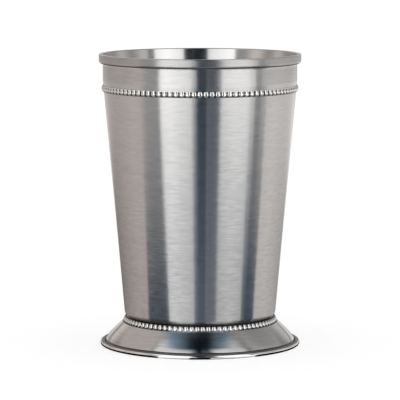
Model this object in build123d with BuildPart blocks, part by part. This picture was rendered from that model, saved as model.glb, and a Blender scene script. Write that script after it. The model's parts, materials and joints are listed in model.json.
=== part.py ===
from build123d import *
import os
from math import cos, pi, sin

# Julep cup: a drawn, tapered drinking cup brazed to a spun foot, each with an applied band of beads.
# Millimetres, +Z up. The origin is on the table, at the middle of the foot.

os.makedirs("parts", exist_ok=True)

# Sheet metal and joints
sheet = 0.7  # thickness of the cup's and the foot's metal
braze_gap = 0.05  # filler metal between a band of beads and its seat
braze_leg = 0.6  # size of the fillet of filler metal under the cup

# Cup
overall_height = 114.3
collar_diameter = 75.8
collar_height = 6.7  # from the top of the taper to the lower edge of the rim
base_diameter = 59.0  # where the line of the tapered wall meets the underside of the floor
base_corner_radius = 2.2
rim_height = 3.7
flare_drop = 1.6  # how far below the rim the collar starts to lean out
flare_out = 0.85  # how far it leans out, up to the top of the rim
rim_hollow = 0.11  # space inside the top of the rim, between the wall and the turned-down edge
rim_edge_radius = 0.4
rim_lip_gap = 0.1  # from the end of the rim's turned-back lip to the wall
rim_lip_land = 0.1  # flat at the end of that lip

# Foot
foot_height = 11.4  # from the table to the underside of the cup
foot_inset = 0.3  # how far the edge of the foot stands in from the edge of the rim
foot_roll_radius = 1.25
foot_lap = 0.1  # depth of the flat that is lapped on the roll, for the cup to stand on
neck_inset = 0.3  # how far the neck stands in from the base of the cup's wall
neck_bevel = 0.35  # bare top of the neck, which clears the rounded corner of the cup
flange_width = 6.2
shoulder_width = 1.3  # ledge under the beads, where the skirt starts
skirt_turn_width = 1.6  # end of the skirt, which turns down into the roll
skirt_turn_height = 2.25
skirt_turn_radius = 6.0

# Bands of beads
strip = 0.25  # thickness of a band between its beads
collar_to_beads = 1.8  # bare wall between the collar and the upper band
upper_bead_count = 104
upper_bead_height = 2.4
upper_bead_relief = 0.48
foot_bead_count = 86
foot_bead_height = 1.8
foot_bead_relief = 0.65
bead_sides = 8
bead_shoulder = 0.75  # where the crown of a bead begins, as a share of its half width
bead_shoulder_rise = 0.6  # how high the bead is there, as a share of its relief

# Radii and levels that follow from the sizes above
collar_r = collar_diameter / 2
flare_height = rim_height + flare_drop
flare_slope = flare_out / flare_height
rim_r = collar_r + flare_slope * (flare_height - sheet) + rim_hollow + sheet
base_r = base_diameter / 2
neck_r = base_r - neck_inset
neck_hole_r = neck_r - flange_width
shoulder_r = neck_r + shoulder_width
foot_r = rim_r - foot_inset
roll_centre_r = foot_r - foot_roll_radius
roll_centre_z = foot_roll_radius - foot_lap
skirt_turn_r = roll_centre_r - skirt_turn_width
skirt_turn_z = roll_centre_z + skirt_turn_height
lap_cutter_width = 4 * foot_roll_radius  # clears the roll on both sides
floor_top = foot_height + sheet
rim_base = overall_height - rim_height
collar_base = rim_base - collar_height
flare_base = rim_base - flare_drop
upper_band_z = collar_base - collar_to_beads - upper_bead_height / 2
foot_band_z = foot_height - neck_bevel - foot_bead_height / 2
shoulder_z = foot_band_z - foot_bead_height / 2 - braze_gap


def wall_radius(z):
    """Outside radius of the cup's tapered wall at height z."""
    return base_r + (collar_r - base_r) * (z - foot_height) / (collar_base - foot_height)


def flare_radius(z):
    """Outside radius of the top of the wall at height z, inside the turned-back rim."""
    return collar_r + flare_slope * (z - flare_base)


def neck_radius(z):
    """Outside radius of the foot's straight neck, the same at every height z."""
    return neck_r


def corner(profile, r, z):
    """The corner of a profile that is nearest to radius r and height z."""
    return profile.vertices().sort_by_distance((r, z))[0]


def bead_cell(seat_radius, middle_z, height, relief, count):
    """Corners of one bead with its share of the strip, from behind the seat out to the crown."""
    half_pitch = pi / count
    points = []
    for z in (middle_z - height / 2, middle_z + height / 2):
        face_r = seat_radius(z) + braze_gap + strip
        back_r = face_r - 2 * strip  # inside the seat, which trims it
        for angle in (-half_pitch, half_pitch):
            for r in (face_r, back_r):
                points.append((r * cos(angle), r * sin(angle), z))
    for side in range(bead_sides):
        turn = 2 * pi * (side + 0.5) / bead_sides
        z = middle_z + bead_shoulder * height / 2 * sin(turn)
        r = seat_radius(z) + braze_gap + strip + bead_shoulder_rise * relief
        angle = bead_shoulder * half_pitch * cos(turn)
        points.append((r * cos(angle), r * sin(angle), z))
    points.append((seat_radius(middle_z) + braze_gap + strip + relief, 0, middle_z))
    return points


def seat_of(seat_radius, low_z, high_z):
    """Half section of the metal inside a band, up to the gap that the filler metal takes."""
    with BuildSketch(Plane.XZ) as seat:
        with BuildLine():
            Polyline(
                (0, low_z),
                (seat_radius(low_z) + braze_gap, low_z),
                (seat_radius(high_z) + braze_gap, high_z),
                (0, high_z),
                close=True,
            )
        make_face()
    return seat.sketch


# Cup: one drawn sheet, with its rim turned out, down and back to the wall
lip_base_r = flare_radius(rim_base) + rim_lip_gap
lip_top_r = flare_radius(rim_base + sheet) + rim_lip_gap
rim_tuck_radius = rim_r - lip_base_r - rim_lip_land
with BuildPart() as cup_body:
    with BuildSketch(Plane.XZ) as cup_profile:
        with BuildLine():
            Polyline(
                (0, floor_top),
                (base_r - sheet, floor_top),
                (collar_r - sheet, collar_base),
                (collar_r - sheet, flare_base),
                (flare_radius(overall_height) - sheet, overall_height),
                (rim_r, overall_height),
                (rim_r, rim_base),
                (lip_base_r, rim_base),
                (lip_top_r, rim_base + sheet),
                (rim_r - sheet, rim_base + sheet),
                (rim_r - sheet, overall_height - sheet),
                (flare_radius(overall_height - sheet), overall_height - sheet),
                (collar_r, flare_base),
                (collar_r, collar_base),
                (base_r, foot_height),
                (0, foot_height),
                close=True,
            )
        make_face()
        fillet(cup_profile.vertices().group_by(Axis.Y)[-1], rim_edge_radius)
        fillet(corner(cup_profile, rim_r, rim_base), rim_tuck_radius)
        fillet(corner(cup_profile, base_r, foot_height), base_corner_radius)
        fillet(corner(cup_profile, base_r - sheet, floor_top), base_corner_radius - sheet)
    revolve(axis=Axis.Z)

# Upper band of beads, on the tapered wall just below the collar
with BuildPart() as upper_bead_band:
    with PolarLocations(0, upper_bead_count):
        ConvexPolyhedron(
            bead_cell(wall_radius, upper_band_z, upper_bead_height, upper_bead_relief, upper_bead_count)
        )
    add(seat_of(wall_radius, upper_band_z - upper_bead_height, upper_band_z + upper_bead_height))
    revolve(axis=Axis.Z, mode=Mode.SUBTRACT)

# Foot: one spun sheet, from the flange under the cup to the rolled edge that stands on the table
with BuildPart() as foot:
    with BuildSketch(Plane.XZ) as foot_profile:
        with BuildLine():
            Polyline(
                (neck_hole_r, foot_height),
                (neck_r, foot_height),
                (neck_r, shoulder_z),
                (shoulder_r, shoulder_z),
                (skirt_turn_r, skirt_turn_z),
                (roll_centre_r, roll_centre_z),
            )
            offset(amount=sheet, side=Side.RIGHT, kind=Kind.INTERSECTION)
        make_face()
        chamfer(corner(foot_profile, neck_r, foot_height), neck_bevel)
        fillet(corner(foot_profile, skirt_turn_r, skirt_turn_z), skirt_turn_radius)
        with Locations((roll_centre_r, roll_centre_z)):
            Circle(foot_roll_radius)
        with Locations((roll_centre_r, 0)):
            Rectangle(
                lap_cutter_width,
                foot_roll_radius,
                align=(Align.CENTER, Align.MAX),
                mode=Mode.SUBTRACT,
            )
    revolve(axis=Axis.Z)

# Foot band of beads, round the neck and down on the shoulder
with BuildPart() as foot_bead_band:
    with PolarLocations(0, foot_bead_count):
        ConvexPolyhedron(
            bead_cell(neck_radius, foot_band_z, foot_bead_height, foot_bead_relief, foot_bead_count)
        )
    add(seat_of(neck_radius, foot_band_z - foot_bead_height, foot_band_z + foot_bead_height))
    revolve(axis=Axis.Z, mode=Mode.SUBTRACT)

# Fillet of filler metal in the corner between the cup's floor and the edge of the foot's flange
with BuildPart() as braze_fillet:
    with BuildSketch(Plane.XZ):
        with BuildLine():
            Polyline(
                (neck_hole_r, foot_height),
                (neck_hole_r - braze_leg, foot_height),
                (neck_hole_r, foot_height - braze_leg),
                close=True,
            )
        make_face()
    revolve(axis=Axis.Z)

cup_body.part.label = "cup_body"
upper_bead_band.part.label = "upper_bead_band"
foot.part.label = "foot"
foot_bead_band.part.label = "foot_bead_band"
braze_fillet.part.label = "braze_fillet"

for piece in (cup_body, upper_bead_band, foot, foot_bead_band, braze_fillet):
    export_step(piece.part, f"parts/{piece.part.label}.step")
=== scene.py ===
import json
from math import asin, atan2, ceil, cos, pi, radians, sin, tan

import bmesh
import bpy
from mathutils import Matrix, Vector


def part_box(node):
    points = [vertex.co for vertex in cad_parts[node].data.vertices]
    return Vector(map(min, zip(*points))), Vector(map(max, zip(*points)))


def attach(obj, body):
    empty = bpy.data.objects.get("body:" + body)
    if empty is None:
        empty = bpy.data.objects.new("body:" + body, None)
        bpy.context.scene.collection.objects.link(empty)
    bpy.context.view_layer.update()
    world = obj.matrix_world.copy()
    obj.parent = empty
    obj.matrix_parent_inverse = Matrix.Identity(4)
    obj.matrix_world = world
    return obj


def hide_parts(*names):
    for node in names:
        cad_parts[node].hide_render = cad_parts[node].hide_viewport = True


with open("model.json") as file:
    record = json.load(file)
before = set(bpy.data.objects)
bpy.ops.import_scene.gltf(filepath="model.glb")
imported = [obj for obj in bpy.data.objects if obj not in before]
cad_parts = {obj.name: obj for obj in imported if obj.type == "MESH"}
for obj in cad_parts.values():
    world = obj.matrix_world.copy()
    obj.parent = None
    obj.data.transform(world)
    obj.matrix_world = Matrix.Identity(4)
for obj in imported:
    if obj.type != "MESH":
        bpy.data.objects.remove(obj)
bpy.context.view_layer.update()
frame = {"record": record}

# Sizes that the frame gives, in metres
cup_low, cup_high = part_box("cup_body")
foot_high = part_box("foot")[1]
upper_low, upper_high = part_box("upper_bead_band")
neck_low, neck_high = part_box("foot_bead_band")
braze_low, braze_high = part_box("braze_fillet")
overall_height = cup_high.z
rim_r = cup_high.x
foot_height = cup_low.z
foot_r = foot_high.x
neck_hole_r = braze_high.x
braze_leg = braze_high.z - braze_low.z

# Sizes of the cup's sheet, in metres
MM = 0.001
sheet = 0.7 * MM
rim_height = 3.7 * MM
rim_lip_gap = 0.1 * MM
rim_lip_land = 0.1 * MM
rim_edge_radius = 0.4 * MM
tuck_height = 0.48 * MM
flare_drop = 1.6 * MM
flare_out = 0.85 * MM
outer_flare_drop = 0.5 * MM
outer_flare_bend = 3 * MM
wall_bend_radius = 6 * MM
collar_r = 37.9 * MM
collar_height = 6.7 * MM
base_r = 29.5 * MM
base_corner_radius = 2.2 * MM
bend_round = 0.25 * MM

# Sizes of the foot's sheet, in metres
neck_inset = 0.3 * MM
neck_round = 0.35 * MM
shoulder_width = 1.3 * MM
shoulder_round = 0.35 * MM
skirt_bow = 0.05 * MM
skirt_bow_radius = 70 * MM
skirt_turn_width = 1.85 * MM
skirt_turn_height = 2.5 * MM
skirt_turn_radius = 13 * MM
roll_radius = 1.0 * MM
roll_lap = 0.1 * MM
roll_shade = radians(52)
groove_width = 0.8 * MM
groove_depth = 0.45 * MM
groove_round = 0.15 * MM
groove_lip = 0.15 * MM

# Sizes of the bands of beads, in metres, and shares of a bead
braze_gap = 0.05 * MM
strip_thickness = 0.25 * MM
upper_bead_count = 104
foot_bead_count = 86
foot_bead_rise = 0.2 * MM
dome_power = 3.0
bead_fill = 0.97
slit_reach = 0.62

# Radii and levels that follow
rim_base = overall_height - rim_height
collar_base = rim_base - collar_height
flare_base = rim_base - flare_drop
floor_top = foot_height + sheet
neck_r = base_r - neck_inset
shoulder_r = neck_r + shoulder_width
shoulder_z = neck_low.z - braze_gap
roll_centre_r = foot_r - roll_radius
roll_centre_z = roll_radius - roll_lap

# How finely the meshes are divided
turn_steps = 256
arc_step = radians(7.5)
least_arc_steps = 3
fillet_steps = 8
bead_spokes = 24
dome_rings = 7
guard = 0.15 * MM
guard_room = 3 * guard
weld_distance = 1e-7
tiny = 1e-9
smooth_angle = radians(40)

# Camera, fitted to the outline of the cup in the photograph
camera_distance = 1.0415
camera_height = 0.1752
camera_pitch = radians(6.483)
camera_lens = 240.6
camera_sensor = 36.0
camera_reach = 20


def wall_radius(z):
    """Outside radius of the cup's tapered wall at height z."""
    return base_r + (collar_r - base_r) * (z - foot_height) / (collar_base - foot_height)


def flare_radius(z):
    """Outside radius of the top of the wall at height z, inside the turned-back rim."""
    return collar_r + flare_out * (z - flare_base) / (overall_height - flare_base)


def neck_radius(z):
    """Outside radius of the foot's neck, the same at every height z."""
    return neck_r


# Meshes


def rounded(corners):
    """Points of a closed outline, with arcs at its corners.

    A corner is (r, z, radius, finish), and a point keeps the finish of what follows it. Where there is
    room, a guard point stands just before and just after an arc, so that the arc's shading stays on it.
    """
    points = []
    for i, (r, z, radius, finish) in enumerate(corners):
        if radius == 0:
            points.append((r, z, finish))
            continue
        here = Vector((r, z))
        to_last = Vector(corners[i - 1][:2]) - here
        to_next = Vector(corners[(i + 1) % len(corners)][:2]) - here
        half = to_last.angle(to_next) / 2
        reach = radius / tan(half)
        back = to_last.normalized()
        ahead = to_next.normalized()
        middle = here + (back + ahead).normalized() * (radius / sin(half))
        start = here + back * reach - middle
        end = here + ahead * reach - middle
        turn = atan2(start.x * end.y - start.y * end.x, start.dot(end))
        first = atan2(start.y, start.x)
        steps = max(least_arc_steps, ceil(abs(turn) / arc_step))
        if to_last.length > reach + guard_room:
            at = here + back * (reach + guard)
            points.append((at.x, at.y, corners[i - 1][3]))
        for step in range(steps + 1):
            angle = first + turn * step / steps
            points.append((middle.x + radius * cos(angle), middle.y + radius * sin(angle), finish))
        if to_next.length > reach + guard_room:
            at = here + ahead * (reach + guard)
            points.append((at.x, at.y, finish))
    return points


def finish_piece(name, mesh, materials, node):
    """Makes a mesh into a piece that stands for a node of the frame."""
    work = bmesh.new()
    work.from_mesh(mesh)
    bmesh.ops.remove_doubles(work, verts=work.verts, dist=weld_distance)
    bmesh.ops.recalc_face_normals(work, faces=work.faces)
    work.to_mesh(mesh)
    work.free()
    for polygon in mesh.polygons:
        polygon.use_smooth = True
    mesh.set_sharp_from_angle(angle=smooth_angle)
    for material in materials:
        mesh.materials.append(material)
    piece = bpy.data.objects.new(name, mesh)
    bpy.context.scene.collection.objects.link(piece)
    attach(piece, "root")
    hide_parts(node)


def lathe(name, points, closed):
    """Mesh of an outline of (r, z, finish) points turned round the Z axis."""
    vertices = []
    rings = []
    for r, z, _ in points:
        first = len(vertices)
        if r == 0:
            vertices.append((0, 0, z))
            rings.append([first] * turn_steps)
            continue
        for step in range(turn_steps):
            angle = 2 * pi * step / turn_steps
            vertices.append((r * cos(angle), r * sin(angle), z))
        rings.append([first + step for step in range(turn_steps)])
    faces = []
    finishes = []
    last = len(points) if closed else len(points) - 1
    for i in range(last):
        here = rings[i]
        following = rings[(i + 1) % len(points)]
        for step in range(turn_steps):
            around = (step + 1) % turn_steps
            corners = [here[step], here[around], following[around], following[step]]
            faces.append(list(dict.fromkeys(corners)))
            finishes.append(points[i][2])
    mesh = bpy.data.meshes.new(name)
    mesh.from_pydata(vertices, [], faces)
    mesh.polygons.foreach_set("material_index", finishes)
    return mesh


DOME, SHADED_STRIP = 0, 1


def bead_band(name, seat_radius, low_z, high_z, crown_r, count, crown_drop, shaded_side, slit_end):
    """Mesh of a strip with a row of domed beads: each bead is a polar grid inside its share of the strip.

    The crowns lie below the middle by the share crown_drop of the band's half height. The slits between the
    beads take dark steel, painted shade, from the edge above (1) or below (-1) them to the share slit_end
    past the middle.
    """
    middle_z = (low_z + high_z) / 2
    half_height = (high_z - low_z) / 2
    front = braze_gap + strip_thickness
    face = seat_radius(middle_z) + front
    half_width = pi / count * face
    bead_width = bead_fill * half_width
    bead_height = bead_fill * half_height
    relief = crown_r - face
    drop = crown_drop * half_height
    angles = [2 * pi * spoke / bead_spokes for spoke in range(bead_spokes)]
    vertices = []
    faces = []
    finishes = []

    def place(turn, along, z, out):
        """Adds the point that lies along and out from the seat, and gives its number."""
        angle = turn + along / face
        r = seat_radius(z) + out
        vertices.append((r * cos(angle), r * sin(angle), z))
        return len(vertices) - 1

    for bead in range(count):
        turn = 2 * pi * bead / count
        crown = place(turn, 0, middle_z - drop, front + relief)
        rings = []
        for ring in range(1, dome_rings + 1):
            share = ring / dome_rings
            ring_z = middle_z - drop * (1 - share)
            out = front + relief * (1 - share ** dome_power)
            rings.append([
                place(turn, share * bead_width * cos(angle), ring_z + share * bead_height * sin(angle), out)
                for angle in angles
            ])
        border = []
        back = []
        for angle in angles:
            across = cos(angle)
            up = sin(angle)
            stretch = min(half_width / max(abs(across), tiny), half_height / max(abs(up), tiny))
            along = across * stretch
            z = middle_z + up * stretch
            border.append(place(turn, along, z, front))
            on_edge = abs(abs(up) * stretch - half_height) < tiny
            back.append(place(turn, along, z, braze_gap) if on_edge else None)
        rings.append(border)
        for spoke in range(bead_spokes):
            around = (spoke + 1) % bead_spokes
            faces.append((crown, rings[0][spoke], rings[0][around]))
            finishes.append(DOME)
            between_spokes = angles[spoke] + pi / bead_spokes
            aside = abs(cos(between_spokes))
            # Painted shade: dark steel on the side of each bead that shade falls on, and in the slits between
            # beads.
            in_shade = shaded_side * sin(between_spokes) > -slit_end
            for inner, outer in zip(rings, rings[1:]):
                faces.append((inner[spoke], outer[spoke], outer[around], inner[around]))
                in_slit = outer is border or (outer is rings[-2] and aside > slit_reach)
                finishes.append(SHADED_STRIP if in_slit and in_shade else DOME)
            if back[spoke] is not None and back[around] is not None:
                faces.append((border[spoke], back[spoke], back[around], border[around]))
                finishes.append(SHADED_STRIP if in_shade else DOME)
        upper = [back[spoke] for spoke in range(bead_spokes // 2 + 1) if back[spoke] is not None]
        lower = [back[-spoke] for spoke in range(bead_spokes // 2 + 1) if back[-spoke] is not None]
        for i in range(len(upper) - 1):
            faces.append((upper[i], lower[i], lower[i + 1], upper[i + 1]))
            finishes.append(SHADED_STRIP)
    mesh = bpy.data.meshes.new(name)
    mesh.from_pydata(vertices, [], faces)
    mesh.polygons.foreach_set("material_index", finishes)
    return mesh


# Nodes of the materials

# Numbers of the colour sockets of a Mix node
MIX_FIRST, MIX_SECOND, MIX_RESULT = 6, 7, 2


def new_material(name):
    """An empty node material, with its tree."""
    material = bpy.data.materials.new(name)
    material.use_nodes = True
    material.node_tree.nodes.clear()
    return material, material.node_tree


def add_node(tree, kind, inputs=(), **settings):
    """Adds a node, sets its properties, and sets or links its inputs by name or number."""
    node = tree.nodes.new(kind)
    for key, value in settings.items():
        setattr(node, key, value)
    for key, value in dict(inputs).items():
        if isinstance(value, bpy.types.NodeSocket):
            tree.links.new(value, node.inputs[key])
        else:
            node.inputs[key].default_value = value
    return node


def maths(tree, operation, *values):
    """Output of a Math node."""
    return add_node(tree, "ShaderNodeMath", dict(enumerate(values)), operation=operation).outputs[0]


def vector_maths(tree, operation, *values):
    """Output of a Vector Math node that gives a vector."""
    node = add_node(tree, "ShaderNodeVectorMath", dict(enumerate(values)), operation=operation)
    return node.outputs["Vector"]


def length(tree, vector):
    """Output of the length of a vector."""
    return add_node(tree, "ShaderNodeVectorMath", {0: vector}, operation="LENGTH").outputs["Value"]


def scaled(tree, vector, factor):
    """Output of a vector or colour times a number."""
    node = add_node(tree, "ShaderNodeVectorMath", {0: vector, "Scale": factor}, operation="SCALE")
    return node.outputs["Vector"]


def smooth_step(tree, value, low, high):
    """Output that rises smoothly from 0 to 1 as value goes from low to high."""
    node = add_node(
        tree,
        "ShaderNodeMapRange",
        {"Value": value, "From Min": low, "From Max": high},
        interpolation_type="SMOOTHSTEP",
    )
    return node.outputs["Result"]


def ramp(tree, value, low, high, at_low, at_high):
    """Output that goes in a straight line from at_low to at_high as value goes from low to high."""
    node = add_node(
        tree,
        "ShaderNodeMapRange",
        {"Value": value, "From Min": low, "From Max": high, "To Min": at_low, "To Max": at_high},
    )
    return node.outputs["Result"]


def mix_colour(tree, factor, first, second):
    """Output of a colour mix."""
    node = add_node(
        tree,
        "ShaderNodeMix",
        {"Factor": factor, MIX_FIRST: first, MIX_SECOND: second},
        data_type="RGBA",
    )
    return node.outputs[MIX_RESULT]


# Materials

grain_roughness = 0.6
fine_detail = 3
broad_detail = 2
broad_streaks = 2.2
broad_lines = 420
fine_share = 0.7
line_range = 0.3, 0.7
anisotropy_turn = 0.25


def slot_colour(slot):
    """Base colour that the record gives to a material slot."""
    for material in frame["record"]["materials"]:
        if material["slot"] == slot:
            return tuple(material["base_color"])


def grain(tree, streaks, lines, detail):
    """Noise drawn out round the Z axis, with its lumps given for a radian and for a metre of outline."""
    place = add_node(tree, "ShaderNodeTexCoord").outputs["Object"]
    x, y, z = add_node(tree, "ShaderNodeSeparateXYZ", {"Vector": place}).outputs
    flat = add_node(tree, "ShaderNodeCombineXYZ", {"X": x, "Y": y}).outputs[0]
    turned = scaled(tree, vector_maths(tree, "NORMALIZE", flat), streaks)
    level = maths(tree, "MULTIPLY", maths(tree, "SUBTRACT", z, length(tree, flat)), lines)
    lift = add_node(tree, "ShaderNodeCombineXYZ", {"Z": level}).outputs[0]
    vector = vector_maths(tree, "ADD", turned, lift)
    noise = add_node(
        tree,
        "ShaderNodeTexNoise",
        {"Vector": vector, "Scale": 1.0, "Detail": detail, "Roughness": grain_roughness},
        noise_dimensions="3D",
    )
    return noise.outputs["Fac"]


def steel(
    name, slot, tone, roughness, roughness_spread, anisotropy, tint_spread, bump, fine_lines, streaks=5
):
    """Steel with a finish that runs round the axis, in lines of its colour, its roughness and its bump.

    The tone makes the slot's colour lighter or darker, and the spreads say how far the lines change it.
    """
    material, tree = new_material(name)
    fine = grain(tree, streaks, fine_lines, fine_detail)
    broad = grain(tree, broad_streaks, broad_lines, broad_detail)
    lines = maths(
        tree,
        "ADD",
        maths(tree, "MULTIPLY", fine, fine_share),
        maths(tree, "MULTIPLY", broad, 1 - fine_share),
    )
    spread = ramp(tree, lines, *line_range, -1.0, 1.0)
    rough = maths(tree, "MULTIPLY_ADD", spread, roughness_spread, roughness)
    shade = maths(tree, "MULTIPLY_ADD", spread, tint_spread * tone, tone)
    relief = add_node(tree, "ShaderNodeBump", {"Strength": 1.0, "Distance": bump, "Height": fine})
    tangent = add_node(tree, "ShaderNodeTangent", direction_type="RADIAL", axis="Z")
    shader = add_node(
        tree,
        "ShaderNodeBsdfPrincipled",
        {
            "Base Color": scaled(tree, slot_colour(slot), shade),
            "Metallic": 1.0,
            "Roughness": rough,
            "Anisotropic": anisotropy,
            "Anisotropic Rotation": anisotropy_turn,
            "Normal": relief.outputs["Normal"],
            "Tangent": tangent.outputs["Tangent"],
        },
    )
    add_node(tree, "ShaderNodeOutputMaterial", {"Surface": shader.outputs[0]})
    return material


brushed = steel(
    "brushed_steel", "satin_steel", tone=1.0, roughness=0.22, roughness_spread=0.03, anisotropy=0.95,
    tint_spread=0.1, bump=0.004 * MM, fine_lines=1700, streaks=8,
)
rim_finish = steel(
    "rim_steel", "satin_steel", tone=0.86, roughness=0.28, roughness_spread=0.03, anisotropy=0.8,
    tint_spread=0.08, bump=0.003 * MM, fine_lines=2000,
)
foot_finish = steel(
    "foot_steel", "satin_steel", tone=1.0, roughness=0.1, roughness_spread=0.02, anisotropy=0.9,
    tint_spread=0.1, bump=0.0015 * MM, fine_lines=1700,
)
inside_finish = steel(
    "inside_steel", "satin_steel", tone=1.0, roughness=0.16, roughness_spread=0.02, anisotropy=0.6,
    tint_spread=0.03, bump=0.001 * MM, fine_lines=1800,
)
polished = steel(
    "polished_steel", "polished_steel", tone=1.3, roughness=0.1, roughness_spread=0.02, anisotropy=0.0,
    tint_spread=0.03, bump=0.0005 * MM, fine_lines=900,
)
# Nearly black steel for painted shade: it darkens the rim's tuck, the foot's neck and shoulder ledge, and the
# bead bands' slits and strip, where shade falls.
painted_shade = steel(
    "painted_shade_steel", "satin_steel", tone=0.1, roughness=0.45, roughness_spread=0.05, anisotropy=0.0,
    tint_spread=0.1, bump=0.002 * MM, fine_lines=1200,
)
# Dark steel for painted shade in the groove between the skirt and the rolled edge, and on the roll's top up
# to roll_shade.
groove_shade = steel(
    "groove_shade_steel", "satin_steel", tone=0.27, roughness=0.4, roughness_spread=0.05, anisotropy=0.0,
    tint_spread=0.1, bump=0.002 * MM, fine_lines=1200,
)
spun = steel(
    "spun_steel", "satin_steel", tone=1.0, roughness=0.38, roughness_spread=0.05, anisotropy=0.7,
    tint_spread=0.08, bump=0.006 * MM, fine_lines=1500,
)
braze = steel(
    "braze_metal", "braze_metal", tone=1.0, roughness=0.42, roughness_spread=0.08, anisotropy=0.0,
    tint_spread=0.12, bump=0.02 * MM, fine_lines=1200,
)

# Cup: one drawn sheet, with its rim turned out, down and back to the wall. Its outline starts on the axis.
OUTSIDE, INSIDE, RIM, TUCK = 0, 1, 2, 3
lip_base_r = flare_radius(rim_base) + rim_lip_gap
lip_top_r = flare_radius(rim_base + sheet) + rim_lip_gap
cup_outline = rounded([
    (base_r - sheet, floor_top, base_corner_radius - sheet, INSIDE),
    (collar_r - sheet, collar_base, wall_bend_radius, INSIDE),
    (collar_r - sheet, flare_base, wall_bend_radius + sheet, INSIDE),
    (flare_radius(overall_height) - sheet, overall_height, rim_edge_radius, RIM),
    (rim_r, overall_height, rim_edge_radius, RIM),
    (rim_r, rim_base, rim_r - lip_base_r - rim_lip_land, RIM),
    (lip_base_r, rim_base, 0, TUCK),
    (lip_top_r, rim_base + sheet, 0, TUCK),
    (rim_r - sheet, rim_base + sheet, bend_round, OUTSIDE),
    (rim_r - sheet, overall_height - sheet, 0, OUTSIDE),
    (flare_radius(overall_height - sheet), overall_height - sheet, 0, OUTSIDE),
    (collar_r, rim_base - outer_flare_drop, outer_flare_bend, OUTSIDE),
    (collar_r, collar_base, wall_bend_radius, OUTSIDE),
    (base_r, foot_height, base_corner_radius, OUTSIDE),
    (0, foot_height, 0, INSIDE),
    (0, floor_top, 0, INSIDE),
])
# The rim's underside up to tuck_height, and the tuck, take the dark steel: painted shade under the rim.
cup_outline = [
    (r, z, TUCK if finish == RIM and z < rim_base + tuck_height else finish) for r, z, finish in cup_outline
]
cup_outline = [cup_outline[-1]] + cup_outline[:-1]
finish_piece(
    "cup",
    lathe("cup", cup_outline, False),
    [brushed, inside_finish, rim_finish, painted_shade],
    "cup_body",
)

# Foot: one spun sheet, from the flange under the cup to the rolled edge
SKIRT, UNDER, ROLL, SHADED_RECESS, GROOVE = 0, 1, 2, 3, 4


def under_side(first, second):
    """Direction from the sheet's upper face to its under face, between two points of the upper face."""
    along = (second - first).normalized()
    return Vector((along.y, -along.x))


def under_corner(last, here, following):
    """Corner of the sheet's under face opposite a corner of its upper face."""
    before = under_side(last, here)
    after = under_side(here, following)
    return here + (before + after) * (sheet / (1 + before.dot(after)))


def roll_arc(first, last, finish):
    """Points of the rolled edge from one angle about its middle to another."""
    steps = ceil(abs(last - first) / arc_step)
    angles = [first + (last - first) * step / steps for step in range(steps + 1)]
    return [
        (roll_centre_r + roll_radius * cos(angle), roll_centre_z + roll_radius * sin(angle), finish)
        for angle in angles
    ]


roll_centre = Vector((roll_centre_r, roll_centre_z))
skirt_top = Vector((shoulder_r, shoulder_z))
skirt_turn = roll_centre + Vector((-skirt_turn_width, skirt_turn_height))
foot_path = [
    Vector((neck_hole_r, foot_height)),
    Vector((neck_r, foot_height)),
    Vector((neck_r, shoulder_z)),
    skirt_top,
    (skirt_top + skirt_turn) / 2 - under_side(skirt_top, skirt_turn) * 2 * skirt_bow,
    skirt_turn,
    roll_centre,
]
foot_rounds = [0, neck_round, bend_round, shoulder_round, skirt_bow_radius, skirt_turn_radius]
# The neck's round and the shoulder's ledge take the dark steel: painted shade under the cup.
foot_finishes = [SKIRT, SHADED_RECESS, SHADED_RECESS, SKIRT, SKIRT, SKIRT]
skirt_end = (skirt_turn - roll_centre).normalized()
skirt_angle = atan2(skirt_end.y, skirt_end.x)
groove_turn = asin(groove_depth / roll_radius)
under_turn = asin(sheet / roll_radius)
lap_turn = -asin(roll_centre_z / roll_radius)
groove_edge = roll_centre + skirt_end * (roll_radius + groove_width)
into_groove = under_side(skirt_turn, roll_centre)
groove_wall = groove_edge + into_groove * groove_lip
groove_floor = groove_edge + into_groove * groove_depth
# From the groove over the roll's top up to roll_shade, the roll takes the groove's dark steel: painted shade.
roll_points = (
    roll_arc(skirt_angle + groove_turn, roll_shade, GROOVE)[:-1]
    + roll_arc(roll_shade, lap_turn, ROLL)
    + roll_arc(-pi - lap_turn, -2 * pi + skirt_angle + under_turn, ROLL)
)
under_corners = [under_corner(*foot_path[i - 1:i + 2]) for i in range(len(foot_path) - 2, 0, -1)]
sheet_corners = (
    [(corner.x, corner.y, bend_round, UNDER) for corner in under_corners]
    + [(neck_hole_r, foot_height - sheet, 0, UNDER)]
    + [
        (corner.x, corner.y, radius, finish)
        for corner, radius, finish in zip(foot_path, foot_rounds, foot_finishes)
    ]
    + [
        (*groove_edge, groove_round, SKIRT),
        (*groove_wall, 0, GROOVE),
        (*groove_floor, 0, GROOVE),
        (*roll_points[-1][:2], 0, UNDER),
    ]
)
foot_outline = rounded(sheet_corners)[:-1] + roll_points
finish_piece(
    "spun_foot",
    lathe("spun_foot", foot_outline, True),
    [foot_finish, spun, polished, painted_shade, groove_shade],
    "foot",
)

# Bands of beads
# Painted shade lies below the upper beads, and above the foot's beads under the cup.
upper_beads = bead_band(
    "upper_beads", wall_radius, upper_low.z, upper_high.z, upper_high.x, upper_bead_count,
    crown_drop=0.3, shaded_side=-1, slit_end=0.7,
)
finish_piece("upper_beads", upper_beads, [polished, painted_shade], "upper_bead_band")
foot_beads = bead_band(
    "foot_beads", neck_radius, neck_low.z, neck_high.z + foot_bead_rise, neck_high.x, foot_bead_count,
    crown_drop=0.8, shaded_side=1, slit_end=0.1,
)
finish_piece("foot_beads", foot_beads, [polished, painted_shade], "foot_bead_band")

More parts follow.
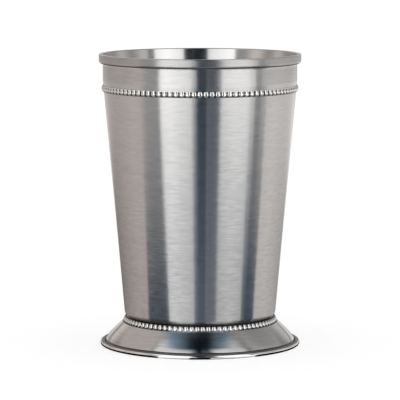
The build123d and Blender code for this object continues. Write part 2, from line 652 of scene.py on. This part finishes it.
# Fillet of filler metal under the cup, hollow-faced as it flowed
fillet_outline = [(neck_hole_r, foot_height, 0)] + [
    (
        neck_hole_r - braze_leg * (1 - sin(pi / 2 * step / fillet_steps)),
        foot_height - braze_leg * (1 - cos(pi / 2 * step / fillet_steps)),
        0,
    )
    for step in range(fillet_steps + 1)
]
finish_piece(
    "braze_ring", lathe("braze_ring", fillet_outline, True), [braze], "braze_fillet"
)

# Floor and sky
floor_size = 8.0
floor_tone = (0.9, 0.9, 0.9, 1)
floor_lift = 0.52
sky_strength = 0.57
white = (1, 1, 1, 1)


def seen_ray(tree):
    """1 for the rays that show a background: from the camera, from a reflection or through glass."""
    path = add_node(tree, "ShaderNodeLightPath").outputs
    shown = maths(tree, "MAXIMUM", path["Is Camera Ray"], path["Is Glossy Ray"])
    return maths(tree, "MAXIMUM", shown, path["Is Transmission Ray"])


half_floor = floor_size / 2
floor_mesh = bpy.data.meshes.new("studio_floor")
floor_mesh.from_pydata(
    [(x * half_floor, y * half_floor, 0) for x, y in ((-1, -1), (1, -1), (1, 1), (-1, 1))],
    [],
    [(0, 1, 2, 3)],
)
floor = bpy.data.objects.new("studio_floor", floor_mesh)
bpy.context.scene.collection.objects.link(floor)
floor_material, floor_tree = new_material("studio_floor")
matt = add_node(floor_tree, "ShaderNodeBsdfDiffuse", {"Color": floor_tone})
lift_strength = maths(floor_tree, "MULTIPLY", seen_ray(floor_tree), floor_lift)
glow = add_node(floor_tree, "ShaderNodeEmission", {"Strength": lift_strength})
both = add_node(floor_tree, "ShaderNodeAddShader", {0: matt.outputs[0], 1: glow.outputs[0]})
add_node(floor_tree, "ShaderNodeOutputMaterial", {"Surface": both.outputs[0]})
floor_mesh.materials.append(floor_material)

world = bpy.data.worlds.new("studio_sky")
bpy.context.scene.world = world
world.use_nodes = True
sky_tree = world.node_tree
sky_tree.nodes.clear()
sky_light = ramp(sky_tree, seen_ray(sky_tree), 0.0, 1.0, sky_strength, 1.0)
sky = add_node(sky_tree, "ShaderNodeBackground", {"Color": white, "Strength": sky_light})
add_node(sky_tree, "ShaderNodeOutputWorld", {"Surface": sky.outputs[0]})

# Cards round the cup that show only in its reflections, as the soft boxes and dark flags of a studio do.
# Their part on the table glows with a painted reflection of the boxes in a glossy table, and the foot's
# painted shadow.
tent_radius = 0.9
tent_height = 1.1
tent_bend = 0.35
tent_hole = 0.0388
table_clear = 0.05 * MM

# Where their parts begin and end: a range is (low, high), and a ramp is (low, high, at low, at high)
near_r = 0.05
far_r = 0.45
foot_range = 0.041, 0.048
beside_foot_range = 0.043, 0.049
table_end_range = 0.42, 0.62
upright_range = 0.12, 0.24
above_ramp = 30.0, 62.0, 1.0, 0.0
shown_wall_radii = 0.0287, 0.0383
shift_rounds = 2

# Edges, by their direction from the camera's side in each part of the cards
edge_softness = 1.2
softness_above = 9.0
left_shade_start = dict(at_foot=-73, beside_cup=-86, far_out=-71, table_end=-69, upright=-58, above=-95)
left_box_start = dict(at_foot=-37, beside_cup=-46.8, far_out=-49.4, table_end=-50, upright=-45, above=-88)
left_box_end = dict(at_foot=-9, beside_cup=-7.8, far_out=-10.1, table_end=-3.8, upright=-9.5, above=-12)
strip_middle = dict(at_foot=0, beside_cup=9, far_out=9, table_end=9, upright=9, above=9)
right_box_start = dict(at_foot=9, beside_cup=24, far_out=23.4, table_end=25.5, upright=20, above=20)
right_box_end = dict(at_foot=50, beside_cup=64.2, far_out=62.8, table_end=69.5, upright=59, above=84)
right_shade_end = dict(at_foot=84, beside_cup=88.5, far_out=89, table_end=78, upright=68, above=98)

# Pale sides, with painted folds of light and shade where they stand upright, and the strip behind the cup
left_side_tones = dict(
    beside_cup=(0.52, 0.465, 0.45), far_out=(0.69, 0.63, 0.6),
    table_end=(0.84, 0.77, 0.735), upright=(0.64, 0.59, 0.565),
)
right_side_tones = dict(
    beside_cup=(0.64, 0.62, 0.61), far_out=(0.85, 0.82, 0.805),
    table_end=(1.14, 1.1, 1.08), upright=(0.55, 0.535, 0.53),
)
side_middle_range = -5, 5
side_kept = 0.9
left_fall_ramp = -150.0, -90.0, 0.38, 0.98
right_fall_ramp = 100.0, 155.0, 1.0, 0.5
right_above_ramp = 30.0, 60.0, 0.8, 1.0
lost_above_ramp = 40.0, 75.0, 1.0, 0.0
lost_behind_ramp = 95.0, 140.0, 0.0, 0.45
pleat_pitch = 39.0
pleat_middle = 74.0
pleat_depth = 0.3
pleat_top_range = 0.42, 0.52
back_range = 157, 164
back_tone = (0.78, 0.77, 0.76, 1)

# Shades beside the boxes
left_shade_tones = dict(
    beside_cup=(0.01, 0.038, 0.07), far_out=(0.54, 0.525, 0.52),
    table_end=(0.6, 0.585, 0.58), upright=(0.4, 0.39, 0.39),
)
right_shade_tones = dict(
    beside_cup=(0.0, 0.03, 0.075), far_out=(0.39, 0.38, 0.375),
    table_end=(0.55, 0.54, 0.535), upright=(0.29, 0.28, 0.28),
)
left_shade_near_r = 0.115
right_shade_near_r = 0.16

# Light boxes
left_box_tones = dict(
    beside_cup=(0.765, 0.78, 0.8), far_out=(1.27, 1.27, 1.265),
    table_end=(2.7, 2.7, 2.7), upright=(1.62, 1.62, 1.62),
)
right_box_tones = dict(
    beside_cup=(0.595, 0.605, 0.625), far_out=(1.06, 1.06, 1.055),
    table_end=(2.4, 2.4, 2.4), upright=(1.62, 1.62, 1.62),
)
box_far_ramp = 0.24, 0.43, 0.0, 1.0
box_above_ramp = 35.0, 62.0, 0.58, 1.0
left_box_ramp = -38.0, -8.0, 1.0, 0.74
right_box_start_ramp = 22.0, 40.0, 0.84, 1.0
right_box_end_ramp = 46.0, 66.0, 1.0, 0.8
right_box_far_ramp = 22.0, 55.0, 0.8, 0.98

# Dark strip between the boxes
slate_tones = dict(
    beside_cup=(0.12, 0.165, 0.22), far_out=(0.0, 0.02, 0.055),
    table_end=(0.0, 0.014, 0.042), upright=(0.012, 0.02, 0.03),
)
grey_tones = dict(
    beside_cup=(0.19, 0.215, 0.255), far_out=(0.145, 0.165, 0.215),
    table_end=(0.095, 0.11, 0.155), upright=(0.012, 0.02, 0.03),
)

# Flag overhead
flag_tone = (0.004, 0.008, 0.013, 1)
flag_tint = (0.55, 0.91, 1.25, 1)
flag_edge_ramp = -5.0, 5.0, 24.0, 22.0
flag_fade_range = -8, 7
flag_side_ramp = 0.13, 0.4, 0.0, 0.42

# Painted gloss of the table, and the foot's painted shadow on it
gloss_blend = 0.5
gloss_range = 0.15, 0.6
foot_light_ramp = 0.0, 0.7, 0.5, 1.8
steep_ramp = 0.06, 0.1, 0.3, 0.2


class Cards:
    """Where a point of the cards lies, in degrees and metres and as its share in each part of the cards."""

    def __init__(self, tree):
        self.tree = tree
        self.place = add_node(tree, "ShaderNodeTexCoord").outputs["Object"]
        self.x, y, self.z = add_node(tree, "ShaderNodeSeparateXYZ", {"Vector": self.place}).outputs
        flat = add_node(tree, "ShaderNodeCombineXYZ", {"X": self.x, "Y": y}).outputs[0]
        self.radius = length(tree, flat)
        towards_camera = maths(tree, "MULTIPLY", y, -1.0)
        self.azimuth = maths(tree, "DEGREES", maths(tree, "ARCTAN2", self.x, towards_camera))
        self.zenith = maths(tree, "DEGREES", maths(tree, "ARCTAN2", self.radius, self.z))
        self.facing = add_node(tree, "ShaderNodeLayerWeight", {"Blend": gloss_blend}).outputs["Facing"]
        self.at_foot = maths(tree, "SUBTRACT", 1.0, smooth_step(tree, self.radius, *foot_range))
        self.far_out = ramp(tree, self.radius, near_r, far_r, 0.0, 1.0)
        self.table_end = ramp(tree, self.radius, *table_end_range, 0.0, 1.0)
        self.upright = smooth_step(tree, self.z, *upright_range)
        self.on_table = maths(tree, "SUBTRACT", 1.0, self.upright)
        self.above = ramp(tree, self.zenith, *above_ramp)
        self.direction = maths(tree, "MULTIPLY_ADD", self.on_table, self.wall_shift(), self.azimuth)
        self.softness = maths(tree, "MULTIPLY_ADD", self.above, softness_above, edge_softness)

    def wall_shift(self):
        """Angle from the azimuth of a point on the table to the direction in which the wall shows it."""
        tree = self.tree
        wall_r = ramp(tree, self.radius, near_r, far_r, *shown_wall_radii)
        shift = 0.0
        for _ in range(shift_rounds):
            direction = maths(tree, "ADD", self.azimuth, shift)
            half_turn = maths(tree, "RADIANS", maths(tree, "MULTIPLY", direction, 0.5))
            offset = maths(tree, "MULTIPLY", maths(tree, "SINE", half_turn), wall_r)
            shift = maths(tree, "DEGREES", maths(tree, "ARCSINE", maths(tree, "DIVIDE", offset, self.radius)))
        return shift

    def past(self, at_foot, beside_cup, far_out, table_end, upright, above):
        """1 past an edge, given its direction in each part of the cards."""
        tree = self.tree
        edge = maths(tree, "MULTIPLY_ADD", self.far_out, float(far_out - beside_cup), float(beside_cup))
        for share, there in (
            (self.at_foot, at_foot),
            (self.table_end, table_end),
            (self.upright, upright),
            (self.above, above),
        ):
            edge = maths(tree, "MULTIPLY_ADD", share, maths(tree, "SUBTRACT", float(there), edge), edge)
        from_edge = maths(tree, "SUBTRACT", self.direction, edge)
        return smooth_step(tree, maths(tree, "DIVIDE", from_edge, self.softness), -1, 1)

    def between(self, start, end):
        """1 between two edges."""
        before_end = maths(self.tree, "SUBTRACT", 1.0, self.past(**end))
        return maths(self.tree, "MULTIPLY", self.past(**start), before_end)

    def tones(self, share, beside_cup, far_out, table_end, upright):
        """Colour in each part of the cards, with the share of the tone far out on the table."""
        colour = mix_colour(self.tree, share, (*beside_cup, 1), (*far_out, 1))
        colour = mix_colour(self.tree, self.table_end, colour, (*table_end, 1))
        return mix_colour(self.tree, self.upright, colour, (*upright, 1))


def side_colours(cards):
    """Colour of the pale sides, which fall off behind the cup, and of the strip behind it."""
    tree = cards.tree
    kept = maths(tree, "MULTIPLY", cards.table_end, side_kept)
    left_fall = maths(tree, "MAXIMUM", kept, ramp(tree, cards.azimuth, *left_fall_ramp))
    left = scaled(tree, cards.tones(cards.far_out, **left_side_tones), left_fall)
    right_fall = maths(tree, "MAXIMUM", kept, ramp(tree, cards.azimuth, *right_fall_ramp))
    right = scaled(tree, cards.tones(cards.far_out, **right_side_tones), right_fall)
    right = scaled(tree, right, ramp(tree, cards.zenith, *right_above_ramp))
    lost_above = ramp(tree, cards.zenith, *lost_above_ramp)
    lost = maths(tree, "MULTIPLY", lost_above, ramp(tree, cards.azimuth, *lost_behind_ramp))
    right = scaled(tree, right, maths(tree, "SUBTRACT", 1.0, lost))
    colour = mix_colour(tree, smooth_step(tree, cards.azimuth, *side_middle_range), left, right)
    aside = maths(tree, "ABSOLUTE", cards.azimuth)
    turn = maths(tree, "MULTIPLY_ADD", aside, 360 / pleat_pitch, -360 * pleat_middle / pleat_pitch)
    pleats = maths(tree, "COSINE", maths(tree, "RADIANS", turn))
    pleated = maths(tree, "SUBTRACT", cards.upright, smooth_step(tree, cards.z, *pleat_top_range))
    pleats = maths(tree, "MULTIPLY", pleats, pleated)
    colour = scaled(tree, colour, maths(tree, "MULTIPLY_ADD", pleats, pleat_depth, 1.0))
    return mix_colour(tree, smooth_step(tree, aside, *back_range), colour, back_tone)


def box_colours(cards):
    """Colours of the left and of the right light box."""
    tree = cards.tree
    share = ramp(tree, cards.radius, *box_far_ramp)
    light = ramp(tree, cards.zenith, *box_above_ramp)
    left = scaled(tree, cards.tones(share, **left_box_tones), ramp(tree, cards.direction, *left_box_ramp))
    near_light = maths(
        tree,
        "MINIMUM",
        ramp(tree, cards.direction, *right_box_start_ramp),
        ramp(tree, cards.direction, *right_box_end_ramp),
    )
    far_light = ramp(tree, cards.direction, *right_box_far_ramp)
    far_table = maths(tree, "MULTIPLY", cards.table_end, cards.on_table)
    change = maths(tree, "SUBTRACT", far_light, near_light)
    right_light = maths(tree, "MULTIPLY_ADD", far_table, change, near_light)
    right = scaled(tree, cards.tones(share, **right_box_tones), right_light)
    return scaled(tree, left, light), scaled(tree, right, light)


def under_flag(cards, colour):
    """A colour with the dark flag overhead laid on it, bluish where the flag ends."""
    tree = cards.tree
    aside = maths(tree, "DIVIDE", maths(tree, "ABSOLUTE", cards.x), length(tree, cards.place))
    edge = ramp(tree, cards.azimuth, *flag_edge_ramp)
    past_end = smooth_step(tree, maths(tree, "SUBTRACT", cards.zenith, edge), *flag_fade_range)
    past_flag = maths(tree, "MAXIMUM", ramp(tree, aside, *flag_side_ramp), past_end)
    tinted = vector_maths(tree, "MULTIPLY", colour, mix_colour(tree, past_flag, flag_tint, white))
    return mix_colour(tree, past_flag, flag_tone, tinted)


def with_painted_gloss_and_shadow(cards, colour, in_box):
    """A colour on the table with painted gloss and the foot's painted shadow: beside the foot only the boxes
    stay, lighter at a flat angle, and elsewhere the table turns plain grey where it is seen steeply.
    """
    tree = cards.tree
    beside_foot = maths(tree, "SUBTRACT", 1.0, smooth_step(tree, cards.radius, *beside_foot_range))
    foot_shadow_and_gloss = maths(tree, "MULTIPLY", in_box, ramp(tree, cards.facing, *foot_light_ramp))
    colour = mix_colour(tree, beside_foot, colour, scaled(tree, colour, foot_shadow_and_gloss))
    gloss = maths(tree, "MAXIMUM", smooth_step(tree, cards.facing, *gloss_range), cards.upright)
    gloss = maths(tree, "MAXIMUM", gloss, beside_foot)
    steep = scaled(tree, white[:3], ramp(tree, cards.radius, *steep_ramp))
    return mix_colour(tree, gloss, steep, colour)


def card_colours(tree):
    """Colour of the cards: pale sides, with the shades, boxes, dark strip and flag laid on them."""
    cards = Cards(tree)
    left_share = ramp(tree, cards.radius, left_shade_near_r, far_r, 0.0, 1.0)
    right_share = ramp(tree, cards.radius, right_shade_near_r, far_r, 0.0, 1.0)
    left_box, right_box = box_colours(cards)
    in_left_box = cards.between(left_box_start, left_box_end)
    in_right_box = cards.between(right_box_start, right_box_end)
    colour = side_colours(cards)
    for share, tone in (
        (cards.between(left_shade_start, left_box_start), cards.tones(left_share, **left_shade_tones)),
        (cards.between(right_box_end, right_shade_end), cards.tones(right_share, **right_shade_tones)),
        (in_left_box, left_box),
        (in_right_box, right_box),
        (cards.between(left_box_end, strip_middle), cards.tones(cards.far_out, **slate_tones)),
        (cards.between(strip_middle, right_box_start), cards.tones(cards.far_out, **grey_tones)),
    ):
        colour = mix_colour(tree, share, colour, tone)
    in_box = maths(tree, "MAXIMUM", in_left_box, in_right_box)
    return with_painted_gloss_and_shadow(cards, under_flag(cards, colour), in_box)


tent_outline = rounded([
    (tent_hole, table_clear, 0, 0),
    (tent_radius, table_clear, tent_bend, 0),
    (tent_radius, tent_height, tent_bend, 0),
    (0, tent_height, 0, 0),
])
tent = bpy.data.objects.new("studio_cards", lathe("studio_cards", tent_outline, False))
bpy.context.scene.collection.objects.link(tent)
tent_material, tent_tree = new_material("studio_cards")
light = add_node(tent_tree, "ShaderNodeEmission", {"Color": card_colours(tent_tree), "Strength": 1.0})
add_node(tent_tree, "ShaderNodeOutputMaterial", {"Surface": light.outputs[0]})
tent.data.materials.append(tent_material)
tent.visible_camera = False
tent.visible_diffuse = False
tent.visible_shadow = False

# Camera
camera_data = bpy.data.cameras.new("camera")
camera_data.sensor_width = camera_sensor
camera_data.lens = camera_lens
camera_data.clip_end = camera_reach
camera = bpy.data.objects.new("camera", camera_data)
camera.location = (0, -camera_distance, camera_height)
camera.rotation_euler = (pi / 2 - camera_pitch, 0, 0)
bpy.context.scene.collection.objects.link(camera)
bpy.context.scene.camera = camera
bpy.context.scene.view_settings.view_transform = "Standard"
